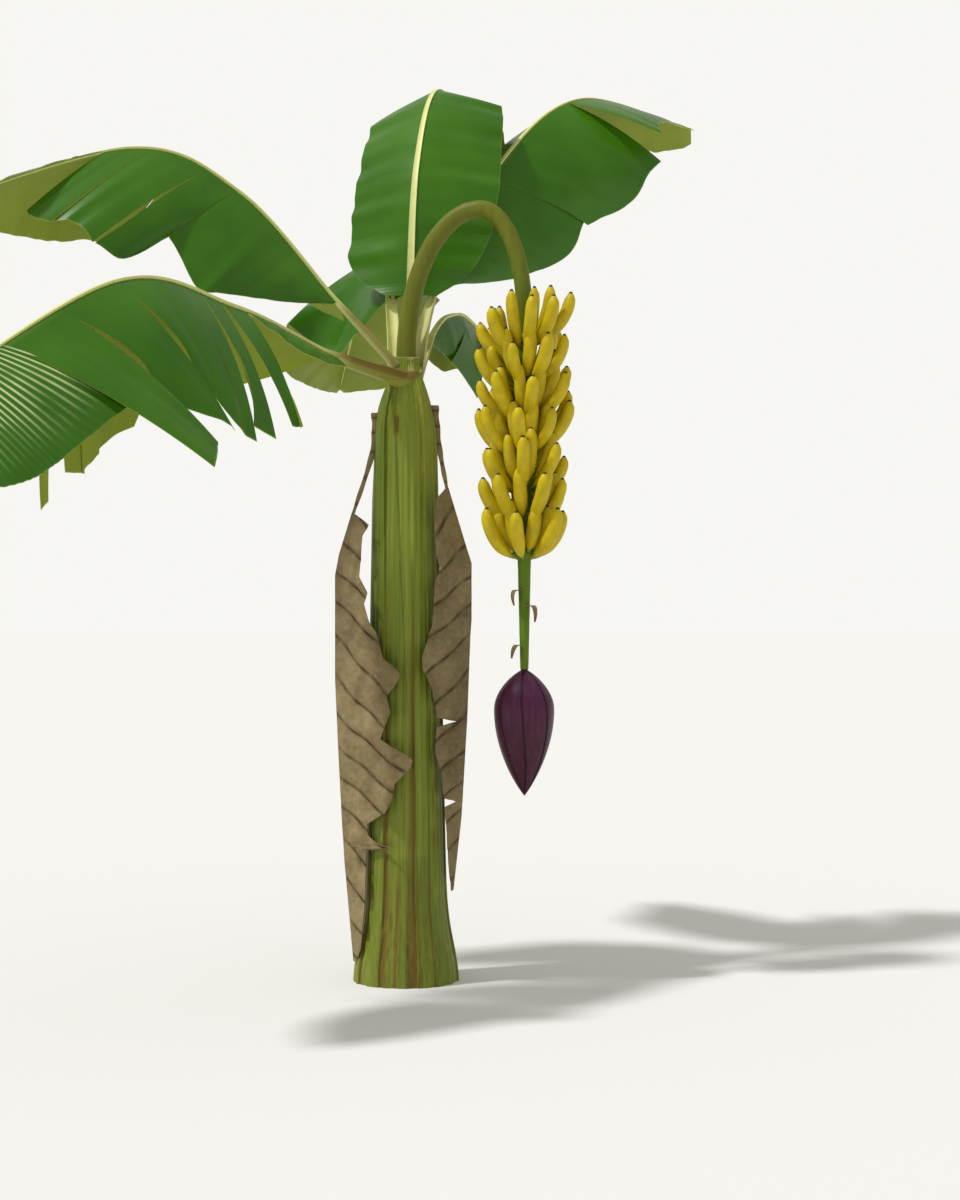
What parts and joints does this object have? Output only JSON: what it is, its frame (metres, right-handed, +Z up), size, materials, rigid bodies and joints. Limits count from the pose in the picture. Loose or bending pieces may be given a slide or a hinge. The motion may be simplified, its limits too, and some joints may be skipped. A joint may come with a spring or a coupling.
{
  "type": "banana plant",
  "caption": "Banana plant: a stout green pseudostem with arching torn leaves, dried leaves hanging beside it, and an arched stalk carrying a bunch of fruit and a flower bud.",
  "frame": {"origin": "middle of the flat cut under the pseudostem, at ground level", "axes": "+Z up along the pseudostem; +X towards the side the bunch hangs on; -Y towards the open front of the crown"},
  "size_m": [2.6105, 2.9383, 3.077],
  "materials": {
    "stem": "smooth, fibrous leaf sheaths with fine streaks and brown dried margins",
    "stalk": "smooth green stalk, slightly waxy",
    "petiole": "smooth pale green leaf stalk",
    "blade": "waxy leaf blade, glossy green above and olive below, with fine side veins",
    "fruit": "smooth ripe skin with faint ridges and dark tips",
    "bud": "satin purple bracts",
    "dead_strap": "dry brown leaf stalk",
    "dead_blade": "dry crumpled brown leaf"
  },
  "bodies": {
    "root": {"pseudostem": "stem", "fruit_stalk_rise": "stalk", "fruit_stalk_bend": "stalk", "fruit_stalk_fall": "stalk", "fruit_stalk_hang": "stalk", "hand_1": "fruit", "hand_2": "fruit", "hand_3": "fruit", "hand_4": "fruit", "hand_5": "fruit", "hand_6": "fruit", "hand_7": "fruit", "flower_bud": "bud", "leaf_left_high_petiole": "petiole", "leaf_left_high_inner": "blade", "leaf_left_high_outer": "blade", "leaf_left_low_petiole": "petiole", "leaf_left_low_inner": "blade", "leaf_left_low_outer": "blade", "leaf_back_tall_petiole": "petiole", "leaf_back_tall_inner": "blade", "leaf_back_tall_outer": "blade", "leaf_right_high_petiole": "petiole", "leaf_right_high_inner": "blade", "leaf_right_high_outer": "blade", "leaf_back_left_petiole": "petiole", "leaf_back_left_inner": "blade", "leaf_back_left_outer": "blade", "leaf_back_right_petiole": "petiole", "leaf_back_right_inner": "blade", "leaf_back_right_outer": "blade", "dead_leaf_left_strap": "dead_strap", "dead_leaf_left": "dead_blade", "dead_leaf_right_strap": "dead_strap", "dead_leaf_right": "dead_blade"}
  },
  "joints": []
}
